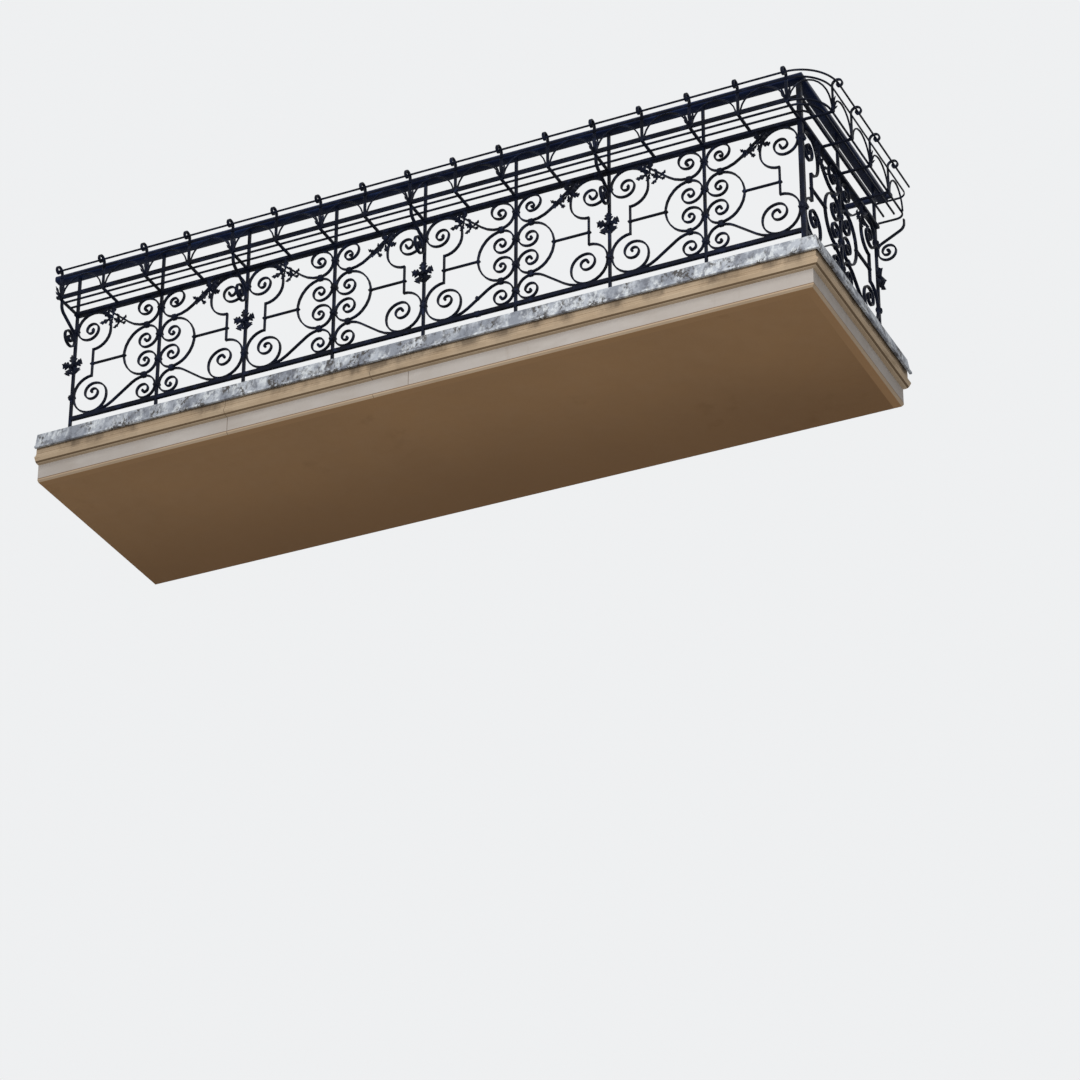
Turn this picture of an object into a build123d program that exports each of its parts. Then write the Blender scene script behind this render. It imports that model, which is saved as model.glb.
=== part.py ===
from build123d import *
import os
from math import ceil, cos, pi, radians, sin

os.makedirs("parts", exist_ok=True)

# Wrought iron balcony of a town house: a cantilevered slab with moulded edges, a railing
# of scrollwork panels on its front and its free end, and a flower basket outside the
# railing. Millimetres. X runs along the facade, +Y goes into the wall, Z is up. The
# origin is the centre of the slab's flat back face.

# Railing grid
panel_pitch = 540.0            # post to post along the front
front_panels = 8
side_pitch = 532.0             # post to post along the free end
side_panels = 2
end_run = 145.0                # last posts to the bay on the left and to the wall
post_to_edge = 115.0           # post centre to the capping's lip
lower_rail_height = 112.0      # bottom rail centre above the slab
rail_gap = 676.0               # bottom rail centre to middle rail centre
top_gap = 246.0                # middle rail centre to the handrail's underside
guard_rise = 154.0             # middle rail centre to guard rail centre

# Slab and its mouldings, the outward places measured back from the capping's lip
capping_height = 95.0
capping_sheet = 6.0
capping_lip = 8.0
capping_lip_high = 12.0
capping_slope = 23.0
capping_top_width = 150.0
cove_in = 26.0
cove_foot = 147.0
cove_step = 6.0
cornice_in = 9.0
ovolo_in = 34.0
ovolo_foot = 177.0
fascia_in = 55.0
fascia_high = 87.0
bead_in = 80.0
bead_high = 15.0
moulding_depth = 110.0         # capping lip to the core behind the mouldings

# Bars
post_size = 15.0
corner_size = 26.0
lower_rail_deep = 20.0
lower_rail_high = 22.0
middle_rail_deep = 40.0
middle_rail_high = 20.0
guard_rail_deep = 20.0
guard_rail_high = 14.0
handrail_wide = 64.0
handrail_high = 44.0
handrail_bevel = 14.0
scroll_thick = 9.0
scroll_deep = 18.0
seat = 0.3                     # seam left between neighbouring irons
facet_turn = 30.0              # bend of a curved bar per facet, in degrees
tight_bend = 55.0              # radius from which a bend has fewer facets
tight_facet_turn = 45.0
quarter = 90.0
eighth = 45.0

# Panel scrollwork, from the plain post outward
top_s_radii = (77.0, 85.0, 46.0, 53.0, 30.0, 24.0)
top_s_sweep = 175.0
top_s_angle = 40.0
big_c_back = (125.0, 166.0)
big_c_volute = (72.0, 66.0, 48.0, 38.0, 28.0)
bottom_s_radii = (76.0, 64.0, 49.0, 38.0, 32.0)
bottom_s_angle = 36.0
bottom_s_upper_share = 0.4     # upper bend's share of the foot's two bends
bottom_s_end = 155.0           # flower post centre to the foot's end
joint_gap = 16.0               # two scrolls held apart by a joint
joint_wide = 20.0
joint_high = 28.0

# Panel scroll beside the flower post: quarter turns from its straight outward
lower_loop_radii = (106.0, 118.0, 90.0, 84.0, 52.0, 46.0, 35.0)
lower_loop_drop = 12.0         # straight between its first two turns
lower_loop_rise = 8.0          # straight between its third and fourth turns
upper_loop_radii = (115.0, 95.0, 74.0, 58.0, 40.0, 34.0)
upper_loop_rise = 22.0
tie_height = 328.0
tie_overrun = 12.0
tie_thick = 8.0

# Flower basket
basket_out = 182.0             # railing line to the uprights
upright_thick = 9.0
upright_wide = 16.0
curl_height = 162.0            # floor to the start of the curl
curl_radii = (30.0, 26.0, 18.0, 11.0)
curl_rod = 8.0
curl_rod_in = 39.0             # upright to the rod lying in the curl
curl_rod_lift = 2.3
curl_rod_overrun = 220.0
floor_rod = 9.0
floor_rod_places = (70.0, 130.0)
edge_rail = 9.0
top_rail_deep = 6.0
top_rail_high = 10.0
top_rail_height = 138.0        # floor to the rail over the arches
end_bend = 50.0                # corner of the edge rails beside the last post
arch_thick = 8.0
arch_wide = 9.0
arch_facets = 6
bracket_drop = 182.0           # floor to the centre of the bracket's scroll
bracket_stem = 25.0            # straight against the post
bracket_radii = (52.0, 48.0, 42.0, 34.0, 24.0)
bracket_elbow = 35.0
bracket_slope = 27.0
bracket_arm = 122.0
bracket_lift = 46.0
rosette_height = 335.0
rosette_radius = 62.0
rosette_thick = 10.0
rosette_petals = 5
petal_half_wide = 19.0
petal_points = 10
rosette_knob = 18.0

# Derived from the above
fascia_foot = ovolo_foot + fascia_high
slab_thick = fascia_foot + bead_high
front_run = front_panels * panel_pitch
side_run = side_panels * side_pitch
slab_length = end_run + front_run + post_to_edge
slab_depth = post_to_edge + side_run + end_run
x_left = -slab_length / 2
x_edge = slab_length / 2
x_first = x_left + end_run
x_corner = x_edge - post_to_edge
y_edge = -slab_depth
y_rail = y_edge + post_to_edge
y_end = y_rail + side_run
z_slab = slab_thick / 2
z_lower = z_slab + lower_rail_height
z_middle = z_lower + rail_gap
z_guard = z_middle + guard_rise
z_hand = z_middle + top_gap
z_floor = z_middle
half_post = post_size / 2
half_corner = corner_size / 2


def upright_plane(origin, along):
    """Vertical plane: local x runs along the given direction, local y runs up."""
    return Plane(origin=origin, x_dir=along, z_dir=Vector(*along).cross(Vector(0, 0, 1)))


def save(part, name, label):
    part.label = label
    export_step(part, f"parts/{name}.step")


def gathered(pieces):
    """Like pieces that share a node, each its own solid."""
    with BuildPart() as group:
        add(pieces)
    return group.part


def facets(radius, turn):
    """Facets of one bend, fewer where it is tight."""
    limit = facet_turn if radius > tight_bend else tight_facet_turn
    return ceil(abs(turn) / limit) if radius else 1


def bend(start, heading, moves):
    """Points and headings along straights (0, length) and tangent arcs (radius, turn)."""
    x, y = start
    angle = radians(heading)
    path = [(x, y, angle)]
    for radius, amount in moves:
        steps = facets(radius, amount)
        turn = radians(amount) / steps if radius else 0.0
        reach = 2 * radius * sin(abs(turn) / 2) if radius else amount
        for step in range(steps):
            x += reach * cos(angle + turn / 2)
            y += reach * sin(angle + turn / 2)
            angle += turn
            path.append((x, y, angle))
    return path


def bent_both_ways(start, heading, back, ahead):
    """One bar through the start, bent by its own moves on either side."""
    behind = [(x, y, angle + pi) for x, y, angle in reversed(bend(start, heading + 180, back))]
    return behind + bend(start, heading, ahead)[1:]


def outline(path, thickness):
    """Both edges of a flat bar that follows the path."""
    half = thickness / 2
    one = [(x - half * sin(angle), y + half * cos(angle)) for x, y, angle in path]
    other = [(x + half * sin(angle), y - half * cos(angle)) for x, y, angle in path]
    return one + other[::-1]


def volute(radii, turn):
    """Quarter turns of shrinking radius."""
    return [(radius, turn) for radius in radii]


# Slab core
with BuildPart() as slab:
    with BuildSketch(Plane.XY.offset(-z_slab)):
        with Locations(((x_left + x_edge - moulding_depth) / 2, (y_edge + moulding_depth) / 2)):
            Rectangle(slab_length - moulding_depth, slab_depth - moulding_depth)
    extrude(amount=slab_thick - capping_sheet)
save(slab.part, "slab", "slab")


# Mouldings along the front and the free end
def edge_moulding(profile):
    """Sweep (outward, height) points along the front edge and back to the wall."""
    with BuildPart() as run:
        with BuildLine(Plane.XY.offset(z_slab)):
            front = Line((x_left, y_edge), (x_edge, y_edge))
            Line(front @ 1, (x_edge, 0))
        with BuildSketch(Plane(origin=(x_left, y_edge, z_slab), x_dir=(0, -1, 0), z_dir=(-1, 0, 0))):
            with BuildLine():
                Polyline(*profile, close=True)
            make_face()
        sweep(transition=Transition.RIGHT)
    return run.part


lip_top = capping_lip_high - capping_height
face_foot = -capping_lip
capping = edge_moulding(
    [
        (-capping_top_width, 0),
        (-capping_slope, 0),
        (face_foot, lip_top),
        (0, lip_top),
        (0, -capping_height),
        (face_foot - capping_sheet, -capping_height),
        (face_foot - capping_sheet, lip_top),
        (-capping_slope - capping_sheet, -capping_sheet),
        (-capping_top_width, -capping_sheet),
    ]
)
save(capping, "capping", "capping")

cornice = edge_moulding(
    [
        (-moulding_depth, -capping_sheet),
        (-capping_slope - capping_sheet, -capping_sheet),
        (-cove_in, -capping_height),
        (-cove_in, -(capping_height + cove_foot) / 2),
        (-(cove_in + cornice_in) / 2, -cove_foot + cove_step),
        (-cornice_in, -cove_foot),
        (-cornice_in, -cove_foot - cove_step),
        (-(cornice_in + ovolo_in) / 2, -ovolo_foot + cove_step),
        (-ovolo_in, -ovolo_foot),
        (-moulding_depth, -ovolo_foot),
    ]
)
save(cornice, "cornice", "cornice")

fascia = edge_moulding(
    [
        (-moulding_depth, -ovolo_foot),
        (-fascia_in, -ovolo_foot),
        (-fascia_in, -fascia_foot),
        (-moulding_depth, -fascia_foot),
    ]
)
save(fascia, "fascia", "fascia")

bead = edge_moulding(
    [
        (-moulding_depth, -fascia_foot),
        (-fascia_in, -fascia_foot),
        (-fascia_in, -(fascia_foot + slab_thick) / 2),
        (-(fascia_in + bead_in) / 2, -slab_thick),
        (-moulding_depth, -slab_thick),
    ]
)
save(bead, "bead", "bead")


# Posts
def post_run(points, size):
    with BuildPart() as bars:
        with BuildSketch(Plane.XY.offset(z_slab)):
            with Locations(*points):
                Rectangle(size, size)
        extrude(amount=z_hand - z_slab)
    return bars.part


front_points = [(x_first + k * panel_pitch, y_rail) for k in range(front_panels)]
side_points = [(x_corner, y_rail + k * side_pitch) for k in range(1, side_panels + 1)]
save(post_run(front_points, post_size), "front_posts", "front posts")
save(post_run([(x_corner, y_rail)], corner_size), "corner_post", "corner post")
save(post_run(side_points, post_size), "side_posts", "side posts")

# Bottom rail, one length between each two posts
with BuildPart() as bottom_rail:
    with BuildSketch(Plane.XY.offset(z_lower - lower_rail_high / 2)):
        for k in range(front_panels):
            start = x_first + k * panel_pitch + half_post + seat
            half_next = half_corner if k == front_panels - 1 else half_post
            stop = x_first + (k + 1) * panel_pitch - half_next - seat
            with Locations(((start + stop) / 2, y_rail)):
                Rectangle(stop - start, lower_rail_deep)
        for k in range(side_panels):
            half_this = half_corner if k == 0 else half_post
            start = y_rail + k * side_pitch + half_this + seat
            stop = y_rail + (k + 1) * side_pitch - half_post - seat
            with Locations((x_corner, (start + stop) / 2)):
                Rectangle(lower_rail_deep, stop - start)
    extrude(amount=lower_rail_high)
save(bottom_rail.part, "bottom_rail", "bottom rail")


# Rails that the posts pass through
def pierced_rail(z, deep, high):
    with BuildPart() as rail:
        with BuildSketch(Plane.XY.offset(z - high / 2)):
            with Locations(((x_left + x_corner + deep / 2) / 2, y_rail)):
                Rectangle(x_corner + deep / 2 - x_left, deep)
            with Locations((x_corner, (y_rail + y_end) / 2)):
                Rectangle(deep, side_run + deep)
            with Locations(*front_points, *side_points):
                Rectangle(post_size + 2 * seat, post_size + 2 * seat, mode=Mode.SUBTRACT)
            with Locations((x_corner, y_rail)):
                Rectangle(corner_size + 2 * seat, corner_size + 2 * seat, mode=Mode.SUBTRACT)
        extrude(amount=high)
    return rail.part


save(pierced_rail(z_middle, middle_rail_deep, middle_rail_high), "middle_rail", "middle rail")
save(pierced_rail(z_guard, guard_rail_deep, guard_rail_high), "guard_rail", "guard rail")

half_hand = handrail_wide / 2
with BuildPart() as handrail:
    with BuildLine(Plane.XY.offset(z_hand)):
        along = Line((x_left, y_rail), (x_corner, y_rail))
        Line(along @ 1, (x_corner, 0))
    with BuildSketch(Plane(origin=(x_left, y_rail, z_hand), x_dir=(0, -1, 0), z_dir=(-1, 0, 0))):
        with BuildLine():
            Polyline(
                (-half_hand, 0),
                (half_hand, 0),
                (half_hand, handrail_high - handrail_bevel),
                (half_hand - handrail_bevel, handrail_high),
                (handrail_bevel - half_hand, handrail_high),
                (-half_hand, handrail_high - handrail_bevel),
                close=True,
            )
        make_face()
    sweep(transition=Transition.RIGHT)
save(handrail.part, "handrail", "handrail")


# Scrollwork panels
def scroll_panel(plane, width, plain_half, flower_half):
    """Half of the symmetric ornament: plain post at local x 0, flower post at width."""
    near = plain_half + seat + scroll_thick / 2
    far = width - flower_half - seat - scroll_thick / 2
    low = lower_rail_high / 2 + seat + scroll_thick / 2
    high = rail_gap - middle_rail_high / 2 - seat - scroll_thick / 2

    # S under the middle rail, its foot sweeping up to the rail
    s_x = near + top_s_radii[0]
    s_y = high - top_s_radii[0] - top_s_radii[1]
    s_slope = radians(top_s_angle)
    s_rise = high - s_y - top_s_sweep * (1 - cos(s_slope))
    s_foot = [(top_s_sweep, top_s_angle), (0, s_rise / sin(s_slope))]
    top_s = bent_both_ways((s_x, s_y), 0, volute(top_s_radii, -quarter), s_foot)

    # large C with both ends rolled towards the plain post
    c_x = near + big_c_volute[0]
    c_y = s_y - joint_gap
    c_back = [(big_c_back[0], -eighth), (big_c_back[1], -quarter), (big_c_back[0], -eighth)]
    c_ahead = c_back + volute(big_c_volute, -quarter)
    big_c = bent_both_ways((c_x, c_y), 0, volute(big_c_volute, quarter), c_ahead)
    c_height = 2 * big_c_back[0] * (1 - cos(radians(eighth))) + 2 * big_c_back[1] * sin(radians(eighth))
    c_bulge = big_c_back[0] * sin(radians(eighth)) + big_c_back[1] * (1 - cos(radians(eighth)))

    # S above the bottom rail, its foot levelling out beside the lower loop
    b_x = near + bottom_s_radii[0]
    b_y = c_y - c_height - joint_gap
    b_slope = radians(bottom_s_angle)
    b_reach = width - bottom_s_end - b_x
    b_fall = b_y - low
    b_bends = (b_reach * sin(b_slope) - b_fall * cos(b_slope)) / (1 - cos(b_slope))
    b_ramp = b_fall * sin(b_slope) / (1 - cos(b_slope)) - b_reach
    b_foot = [
        (b_bends * bottom_s_upper_share, -bottom_s_angle),
        (0, b_ramp),
        (b_bends * (1 - bottom_s_upper_share), bottom_s_angle),
    ]
    bottom_s = bent_both_ways((b_x, b_y), 0, volute(bottom_s_radii, quarter), b_foot)

    # scroll beside the flower post: two loops joined by an upright straight
    first, second, third, *inner = volute(lower_loop_radii, -quarter)
    lower_moves = [first, (0, lower_loop_drop), second, third, (0, lower_loop_rise), *inner]
    l_x = far - lower_loop_radii[0]
    l_y = low + lower_loop_radii[0] + lower_loop_drop + lower_loop_radii[1]
    lower_end = bend((l_x, l_y), 0, lower_moves)
    outer_turn = upper_loop_radii[0] + upper_loop_radii[1] - lower_loop_radii[0]
    upper_moves = [(outer_turn, -quarter), (0, upper_loop_rise), *volute(upper_loop_radii, -quarter)]
    u_y = high - upper_loop_radii[0] - upper_loop_rise - outer_turn
    upper_end = bend((l_x, u_y), 180, upper_moves)
    tie = [(c_x + c_bulge - tie_overrun, tie_height, 0.0), (l_x + tie_overrun, tie_height, 0.0)]

    with BuildPart() as panel:
        with BuildSketch(plane):
            for path in (top_s, big_c, bottom_s, lower_end, upper_end):
                with BuildLine():
                    Polyline(*outline(path, scroll_thick), close=True)
                make_face()
            with BuildLine():
                Polyline(*outline(tie, tie_thick), close=True)
            make_face()
            with Locations((l_x, (l_y + u_y) / 2)):
                Rectangle(scroll_thick, u_y - l_y + scroll_thick)
            with Locations(((s_x + c_x) / 2, (s_y + c_y) / 2), ((b_x + c_x) / 2, b_y + joint_gap / 2)):
                Rectangle(joint_wide, joint_high)
        extrude(amount=scroll_deep / 2, both=True)
    return panel.part


for k in range(front_panels):
    plain_left = k % 2 == 1
    plain_k = k if plain_left else k + 1
    flower_half = half_corner if k == front_panels - 1 else half_post
    origin = (x_first + plain_k * panel_pitch, y_rail, z_lower)
    plane = upright_plane(origin, (1, 0, 0) if plain_left else (-1, 0, 0))
    panel = scroll_panel(plane, panel_pitch, half_post, flower_half)
    save(panel, f"front_panel_{k + 1}", f"front panel {k + 1}")

for k in range(side_panels):
    origin = (x_corner, y_rail + side_pitch, z_lower)
    plane = upright_plane(origin, (0, -1, 0) if k == 0 else (0, 1, 0))
    panel = scroll_panel(plane, side_pitch, half_post, half_corner if k == 0 else half_post)
    save(panel, f"side_panel_{k + 1}", f"side panel {k + 1}")


# Flowers on every second post
def rosette(origin, along):
    """Pointed petals round a knob, in front of the post."""
    steps = [2 * pi * n / petal_points for n in range(petal_points)]
    petal = [(rosette_radius / 2 * (1 - cos(t)), petal_half_wide * sin(t)) for t in steps]
    with BuildPart() as flower:
        with BuildSketch(upright_plane(origin, along)):
            RegularPolygon(rosette_knob, 2 * rosette_petals)
            for n in range(rosette_petals):
                turn = pi / 2 + 2 * pi * n / rosette_petals
                with BuildLine():
                    Polyline(
                        *[(x * cos(turn) - y * sin(turn), x * sin(turn) + y * cos(turn)) for x, y in petal],
                        close=True,
                    )
                make_face()
        extrude(amount=rosette_thick)
    return flower.part


rosette_front = y_rail - half_post - seat
z_rosette = z_lower + rosette_height
flower_x = [x_first + k * panel_pitch for k in range(0, front_panels, 2)]
flowers = [rosette((x, rosette_front, z_rosette), (1, 0, 0)) for x in flower_x]
flowers.append(rosette((x_corner + half_post + seat, y_end, z_rosette), (0, 1, 0)))
save(gathered(flowers), "rosettes", "rosettes")


# Basket floor bars, from the middle rail to the uprights
def floor_bar(origin, outward):
    start = middle_rail_deep / 2 + seat
    stop = basket_out - half_upright - seat
    with BuildPart() as flat:
        with BuildSketch(upright_plane(origin, outward)):
            with Locations(((start + stop) / 2, 0)):
                Rectangle(stop - start, upright_thick)
        extrude(amount=upright_wide / 2, both=True)
    return flat.part


# Basket uprights, their heads rolled outward
def curled_upright(origin, outward):
    moves = [(0, curl_height + half_upright), *volute(curl_radii, -quarter)]
    path = bend((basket_out, -half_upright), quarter, moves)
    with BuildPart() as bent:
        with BuildSketch(upright_plane(origin, outward)):
            with BuildLine():
                Polyline(*outline(path, upright_thick), close=True)
            make_face()
        extrude(amount=upright_wide / 2, both=True)
    return bent.part


half_upright = upright_thick / 2
front_bay = panel_pitch / 2
side_bay = side_pitch / 2
front_places = [(x_first + j * front_bay, y_rail, z_floor) for j in range(2 * front_panels + 1)]
side_places = [(x_corner, y_rail + j * side_bay, z_floor) for j in range(2 * side_panels)]
front_bars = [floor_bar(place, (0, -1, 0)) for place in front_places]
save(gathered(front_bars), "front_floor_bars", "front floor bars")
side_bars = [floor_bar(place, (1, 0, 0)) for place in side_places]
save(gathered(side_bars), "side_floor_bars", "side floor bars")
front_uprights = [curled_upright(place, (0, -1, 0)) for place in front_places]
save(gathered(front_uprights), "front_uprights", "front uprights")
side_uprights = [curled_upright(place, (1, 0, 0)) for place in side_places]
save(gathered(side_uprights), "side_uprights", "side uprights")


# Lengthwise basket bars with a rounded corner
def basket_run(out, z, wide, high, overrun, end_gap):
    """Bar parallel to the railing; with an end gap it turns back towards the last post."""
    start = x_first - half_post
    with BuildPart() as run:
        with BuildLine(Plane.XY.offset(z)):
            front = Line((start, y_rail - out), (x_corner, y_rail - out))
            corner = JernArc(start=front @ 1, tangent=(1, 0), radius=out, arc_size=quarter)
            if end_gap:
                side = Line(corner @ 1, (x_corner + out, y_end - end_bend))
                turn = JernArc(start=side @ 1, tangent=(0, 1), radius=end_bend, arc_size=quarter)
                Line(turn @ 1, (x_corner + end_gap, y_end))
            else:
                Line(corner @ 1, (x_corner + out, y_end + overrun))
        with BuildSketch(Plane(origin=(start, y_rail - out, z), x_dir=(0, 1, 0), z_dir=(1, 0, 0))):
            Rectangle(wide, high)
        sweep()
    return run.part


z_on_floor = z_floor + upright_thick / 2 + seat
edge_out = basket_out - half_upright - seat - edge_rail / 2
edge_gap = middle_rail_deep / 2 + seat
edge_low = basket_run(edge_out, z_on_floor + edge_rail / 2, edge_rail, edge_rail, 0, edge_gap)
save(edge_low, "edge_rail", "edge rail")
top_out = basket_out + half_upright + seat + top_rail_deep / 2
top_gap_in = guard_rail_deep / 2 + seat
edge_high = basket_run(top_out, z_floor + top_rail_height, top_rail_deep, top_rail_high, 0, top_gap_in)
save(edge_high, "top_rail", "top rail")
rod_stop = -end_bend
for n, place in enumerate(floor_rod_places):
    rod = basket_run(place, z_on_floor + floor_rod / 2, floor_rod, floor_rod, rod_stop, 0)
    save(rod, f"floor_rod_{n + 1}", f"floor rod {n + 1}")
curl_top = curl_height + curl_radii[0]
curl_foot = curl_top - curl_radii[1] - curl_radii[2]
z_rod = z_floor + curl_foot + half_upright + curl_rod_lift + curl_rod / 2
long_rod = basket_run(basket_out + curl_rod_in, z_rod, curl_rod, curl_rod, -side_bay + curl_rod_overrun, 0)
save(long_rod, "curl_rod", "curl rod")


# Arches between the uprights, their crowns under the top rail
def arch(origin, along, bay):
    half_span = bay / 2 - upright_wide / 2 - seat - arch_thick / 2
    rise = top_rail_height - top_rail_high / 2 - seat - arch_thick / 2 - half_upright - seat
    steps = [pi * n / arch_facets for n in range(arch_facets + 1)]
    inner = [(-(half_span - arch_thick / 2) * cos(t), (rise - arch_thick / 2) * sin(t)) for t in steps]
    outer = [(-(half_span + arch_thick / 2) * cos(t), (rise + arch_thick / 2) * sin(t)) for t in steps]
    with BuildPart() as bow:
        with BuildSketch(upright_plane(origin, along)):
            with BuildLine():
                Polyline(*outer, *inner[::-1], close=True)
            make_face()
        extrude(amount=arch_wide / 2, both=True)
    return bow.part


def front_arch(j):
    return arch((x_first + (j + 0.5) * front_bay, y_rail - basket_out, z_on_floor), (1, 0, 0), front_bay)


def side_arch(j):
    return arch((x_corner + basket_out, y_rail + (j + 0.5) * side_bay, z_on_floor), (0, 1, 0), side_bay)


save(gathered([front_arch(j) for j in range(2 * front_panels)]), "front_arches", "front arches")
last_place = (x_corner + basket_out, y_end - (side_bay + end_bend) / 2, z_on_floor)
last_arch = arch(last_place, (0, 1, 0), side_bay - end_bend)
side_bows = [side_arch(j) for j in range(2 * side_panels - 1)]
save(gathered([*side_bows, last_arch]), "side_arches", "side arches")


# Scroll brackets under the basket at the flower posts
def bracket(origin, outward):
    touch = (half_post + seat + scroll_thick / 2, -bracket_drop)
    arm = [
        (0, bracket_stem),
        (bracket_elbow, bracket_slope - quarter),
        (0, bracket_arm),
        (bracket_lift, quarter - bracket_slope),
    ]
    reached = bend(touch, quarter, arm)[-1]
    arm.append((0, -half_upright - seat - reached[1]))
    path = bent_both_ways(touch, quarter, volute(bracket_radii, quarter), arm)
    with BuildPart() as scroll:
        with BuildSketch(upright_plane(origin, outward)):
            with BuildLine():
                Polyline(*outline(path, scroll_thick), close=True)
            make_face()
        extrude(amount=scroll_deep / 2, both=True)
    return scroll.part


arms = [bracket((x, y_rail, z_floor), (0, -1, 0)) for x in flower_x]
arms.append(bracket((x_corner, y_end, z_floor), (1, 0, 0)))
save(gathered(arms), "brackets", "brackets")
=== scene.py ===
from math import cos, pi, radians, sin

import bpy
from mathutils import Matrix, Vector


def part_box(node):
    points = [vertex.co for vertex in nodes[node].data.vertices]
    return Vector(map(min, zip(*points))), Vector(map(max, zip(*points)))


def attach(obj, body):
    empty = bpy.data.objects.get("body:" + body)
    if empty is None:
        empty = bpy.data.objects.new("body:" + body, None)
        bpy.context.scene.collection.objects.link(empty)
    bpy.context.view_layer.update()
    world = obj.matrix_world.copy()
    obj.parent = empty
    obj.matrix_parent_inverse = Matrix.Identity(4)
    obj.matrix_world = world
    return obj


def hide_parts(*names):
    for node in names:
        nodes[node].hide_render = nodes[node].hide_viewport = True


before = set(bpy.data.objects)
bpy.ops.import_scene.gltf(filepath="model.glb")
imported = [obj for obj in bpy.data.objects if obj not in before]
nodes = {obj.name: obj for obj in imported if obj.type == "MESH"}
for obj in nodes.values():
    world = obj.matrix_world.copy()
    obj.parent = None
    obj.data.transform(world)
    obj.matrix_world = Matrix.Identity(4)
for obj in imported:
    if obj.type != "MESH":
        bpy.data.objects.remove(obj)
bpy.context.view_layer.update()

QUARTER = pi / 2

# Bars of the ironwork, in metres
SCROLL_THICK = 0.009
SCROLL_DEEP = 0.018
UPRIGHT_THICK = 0.009
UPRIGHT_WIDE = 0.016
ARCH_THICK = 0.008
ARCH_WIDE = 0.009
TIE_THICK = 0.008
CHAMFER = 0.0014
BEND_FACETS = 7  # in a quarter turn
SEAM = 0.0003  # left between neighbouring irons

# Snub ends of the rolls
SNUB_RADIUS = 0.0078
SNUB_INWARD = 0.003
SNUB_SIDES = 14
SNUB_EASE = 0.2  # of its radius
SNUB_SHARE = 0.98  # of the bar's depth

# Rolls of the ironwork: the radii of their quarter turns, in millimetres
UPPER_ROLL = (77, 85, 46, 53, 30, 24, 20, 12)
LARGE_ROLL = (72, 66, 48, 38, 28, 20, 12)
LOWER_ROLL = (76, 64, 49, 38, 32, 21, 13)
UPPER_LOOP_ROLL = (115, 95, 74, 58, 40, 34, 25, 16)
LOWER_LOOP_TURN = (106,)
LOWER_LOOP_OVER = (118, 90)
LOWER_LOOP_ROLL = (84, 52, 46, 35, 27, 16)
CURL_ROLL = (30, 26, 18, 11, 7)
BRACKET_ROLL = (52, 48, 42, 34, 24, 18, 12)


def only(piece):
    """The piece alone is selected."""
    bpy.ops.object.select_all(action="DESELECT")
    piece.select_set(True)
    bpy.context.view_layer.objects.active = piece


def edit_all():
    """Edit mode, with all of the piece selected."""
    bpy.ops.object.mode_set(mode="EDIT")
    bpy.ops.mesh.select_all(action="SELECT")


def joined(parts, name):
    only(parts[0])
    for part in parts:
        part.select_set(True)
    if len(parts) > 1:
        bpy.ops.object.join()
    whole = bpy.context.view_layer.objects.active
    whole.name = name
    whole.data.name = name
    return whole


def settle(piece):
    """Places and turns go into the mesh."""
    only(piece)
    bpy.ops.object.transform_apply(location=True, rotation=True, scale=True)
    return piece


def outward(piece):
    """Doubles are merged and the faces point outwards."""
    only(piece)
    edit_all()
    bpy.ops.mesh.remove_doubles(threshold=0.00001)
    bpy.ops.mesh.normals_make_consistent(inside=False)
    bpy.ops.object.mode_set(mode="OBJECT")
    return piece


def smooth(piece, degrees=35):
    only(piece)
    bpy.ops.object.shade_smooth_by_angle(angle=radians(degrees))
    return piece


def copied(piece, place, turn=0.0, mirror=False, name="copy"):
    """A copy with its own mesh, turned about Z and set at its place; a mirror image if asked."""
    twin = piece.copy()
    twin.data = piece.data.copy()
    bpy.context.scene.collection.objects.link(twin)
    twin.name = name
    twin.data.name = name
    twin.location = place
    twin.rotation_euler = (0, 0, turn)
    if mirror:
        twin.scale = (-1, 1, 1)
    settle(twin)
    if mirror:
        edit_all()
        bpy.ops.mesh.flip_normals()
        bpy.ops.object.mode_set(mode="OBJECT")
    return twin


def turned(piece, place, tilt):
    """Tilted in the XZ plane, then set at its place."""
    piece.matrix_world = Matrix.Translation(place) @ Matrix.Rotation(-tilt, 4, "Y")
    return settle(piece)


def walked(start, heading, moves):
    """Where a bar bent by the moves ends: (x, z) and its heading."""
    x, z = start
    for radius, amount in moves:
        if radius:
            side = 1 if amount > 0 else -1
            x += radius * side * (sin(heading + amount) - sin(heading))
            z -= radius * side * (cos(heading + amount) - cos(heading))
            heading += amount
        else:
            x += amount * cos(heading)
            z += amount * sin(heading)
    return (x, z), heading


def backwards(moves):
    """The same bends, walked from their far end."""
    return [(radius, -amount if radius else amount) for radius, amount in reversed(moves)]


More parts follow.
